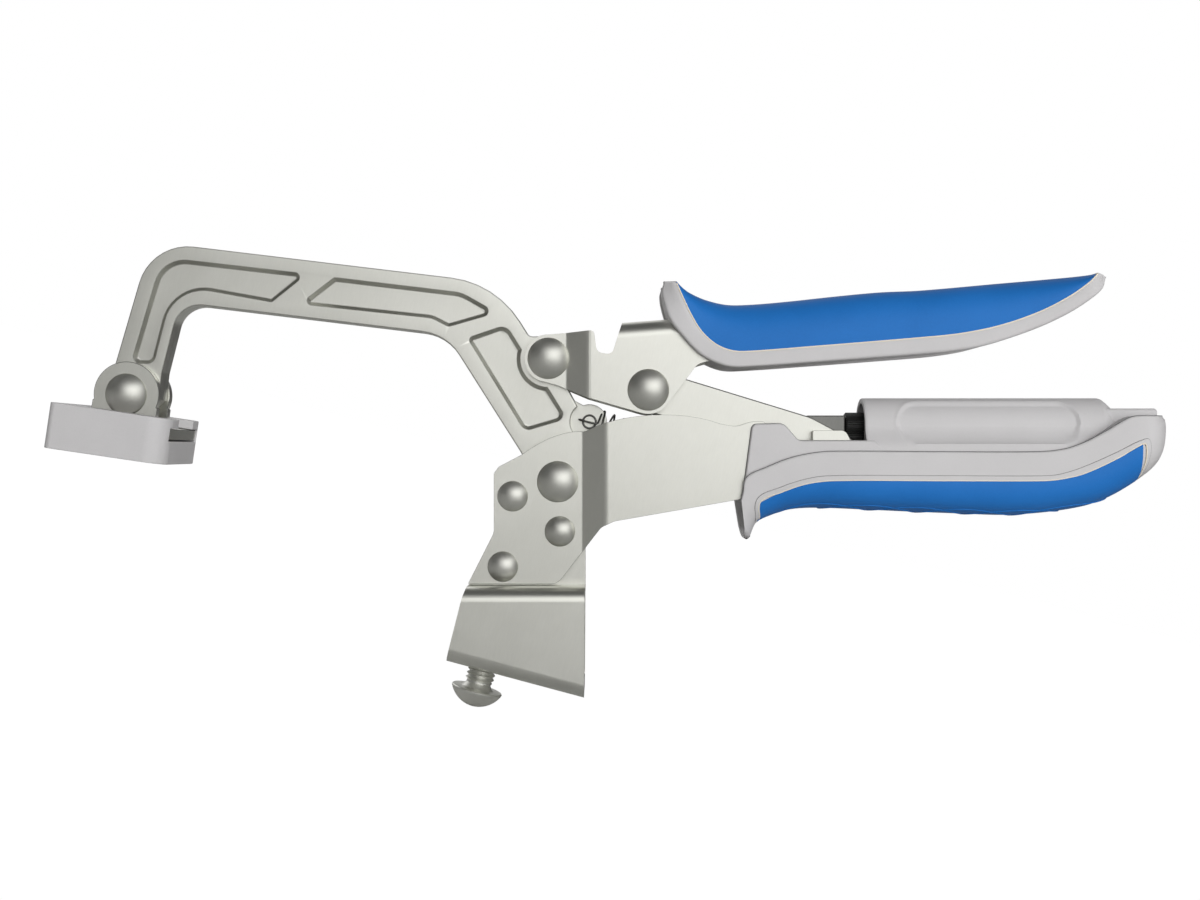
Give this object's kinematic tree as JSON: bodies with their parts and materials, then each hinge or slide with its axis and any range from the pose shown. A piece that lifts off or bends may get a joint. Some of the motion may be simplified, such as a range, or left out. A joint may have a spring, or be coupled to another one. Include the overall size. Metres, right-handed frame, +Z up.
{
  "type": "bench clamp",
  "caption": "Self-adjusting bench clamp: folded steel base with a slot bolt, forged C-arm with swivel pad, toggle link and two moulded-grip handles.",
  "frame": {"origin": "Centre of the flat underside of the base, on the bench plate", "axes": "+Z up from the bench, +X towards the handles, -Y towards the camera"},
  "size_m": [0.2973, 0.036, 0.1607],
  "materials": {
    "plated_steel": "warm satin nickel plating",
    "steel_hardware": "plain plated hardware",
    "black_steel": "black oxide",
    "grey_grip": "moulded grey, satin",
    "blue_grip": "soft moulded blue, satin",
    "pad_plastic": "moulded grey, matt"
  },
  "bodies": {
    "body": {"base_bracket": "plated_steel", "web_spacer": "steel_hardware", "base_bolt": "plated_steel", "base_nut": "steel_hardware", "fixed_rivets_set": "plated_steel", "body_plate_near": "plated_steel", "body_plate_far": "plated_steel", "arm_pivot_rivet": "plated_steel", "spring_anchor": "steel_hardware", "lower_grip": "grey_grip", "lower_grip_inlay": "blue_grip", "screw_housing_nut": "steel_hardware", "return_spring": "steel_hardware"},
    "pressure_slide": {"pressure_block": "steel_hardware"},
    "knob": {"knurled_knob": "black_steel", "adjusting_screw": "black_steel"},
    "arm": {"clamp_arm": "plated_steel"},
    "upper_handle": {"handle_channel": "plated_steel", "handle_pivot_rivet": "plated_steel", "link_pivot_rivet": "plated_steel", "upper_grip": "grey_grip", "upper_grip_inlay": "blue_grip"},
    "link": {"link_plate_near": "plated_steel", "link_plate_far": "plated_steel", "link_bush": "steel_hardware", "link_tail_pin": "steel_hardware"},
    "pad": {"pad_foot": "plated_steel", "pad_cover": "pad_plastic", "pad_pivot_rivet": "plated_steel"}
  },
  "joints": [
    {"name": "arm_swing", "type": "hinge", "parent": "body", "child": "arm", "pos_m": [-0.00294, 0, 0.05501], "axis": [0, 1, 0], "range_deg": [0, 18], "deforming": ["return_spring"]},
    {"name": "handle_lift", "type": "hinge", "parent": "arm", "child": "upper_handle", "pos_m": [-0.01425, 0, 0.08718], "axis": [0, 1, 0], "range_deg": [-56, 0]},
    {"name": "link_swing", "type": "hinge", "parent": "upper_handle", "child": "link", "pos_m": [0.01459, 0, 0.0858], "axis": [0, 1, 0], "range_deg": [0, 59.1]},
    {"name": "pad_swivel", "type": "hinge", "parent": "arm", "child": "pad", "pos_m": [-0.12402, 0, 0.04752], "axis": [0, 1, 0], "range_deg": [-22, 22]},
    {"name": "screw_advance", "type": "slide", "parent": "body", "child": "pressure_slide", "axis": [0.9659, 0, 0.2588], "range_m": [-0.0016, 0.0016]},
    {"name": "knob_turn", "type": "hinge", "parent": "pressure_slide", "child": "knob", "pos_m": [0.07096, 0, 0.09065], "axis": [0.9659, 0, 0.2588], "range_deg": [-722, 722]}
  ],
  "couplings": [
    {"joint": "handle_lift", "follows": "arm_swing", "ratio": -3.1},
    {"joint": "link_swing", "follows": "arm_swing", "ratio": 3.273},
    {"joint": "knob_turn", "follows": "screw_advance", "rad_per_m": 7854}
  ]
}
